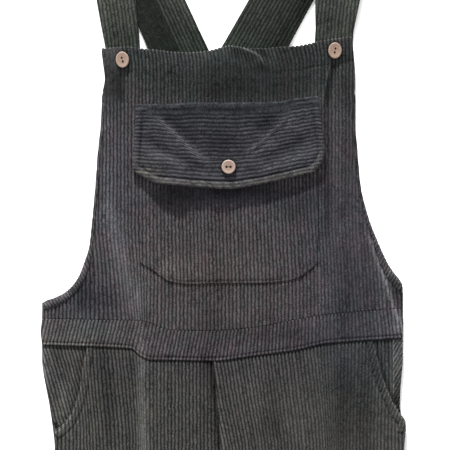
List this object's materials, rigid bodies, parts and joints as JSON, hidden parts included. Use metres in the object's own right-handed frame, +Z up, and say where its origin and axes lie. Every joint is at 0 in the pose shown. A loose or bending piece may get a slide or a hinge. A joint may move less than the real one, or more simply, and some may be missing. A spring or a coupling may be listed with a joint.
{
  "type": "bib overalls",
  "caption": "Bib overalls in wide-wale corduroy, laid flat face up: crossed straps buttoned to the bib, a flapped bib pocket, slanted hip pockets and straight legs.",
  "frame": {"origin": "on the surface the overalls lie on, under the middle of the waist, where the back's underside rests", "axes": "+Y up the garment towards the shoulder folds, +Z up off the surface through the front, +X to the right of someone who looks down on the front"},
  "size_m": [0.471, 1.5007, 0.0187],
  "materials": {
    "corduroy": "napped wide-wale cotton corduroy, washed charcoal",
    "button_wood": "satin"
  },
  "bodies": {
    "root": {"bib_front": "corduroy", "bib_pocket": "corduroy", "pocket_flap": "corduroy", "armhole_binding_left": "corduroy", "armhole_binding_right": "corduroy", "waistband_front": "corduroy", "front_leg_left": "corduroy", "front_leg_right": "corduroy", "pocket_facing_left": "corduroy", "pocket_facing_right": "corduroy", "hip_pocket_left": "corduroy", "hip_pocket_right": "corduroy", "back_waist": "corduroy", "back_leg_left": "corduroy", "back_leg_right": "corduroy", "strap_left": "corduroy", "strap_right": "corduroy", "button_bib_left": "button_wood", "button_bib_right": "button_wood", "button_flap": "button_wood"}
  },
  "joints": []
}
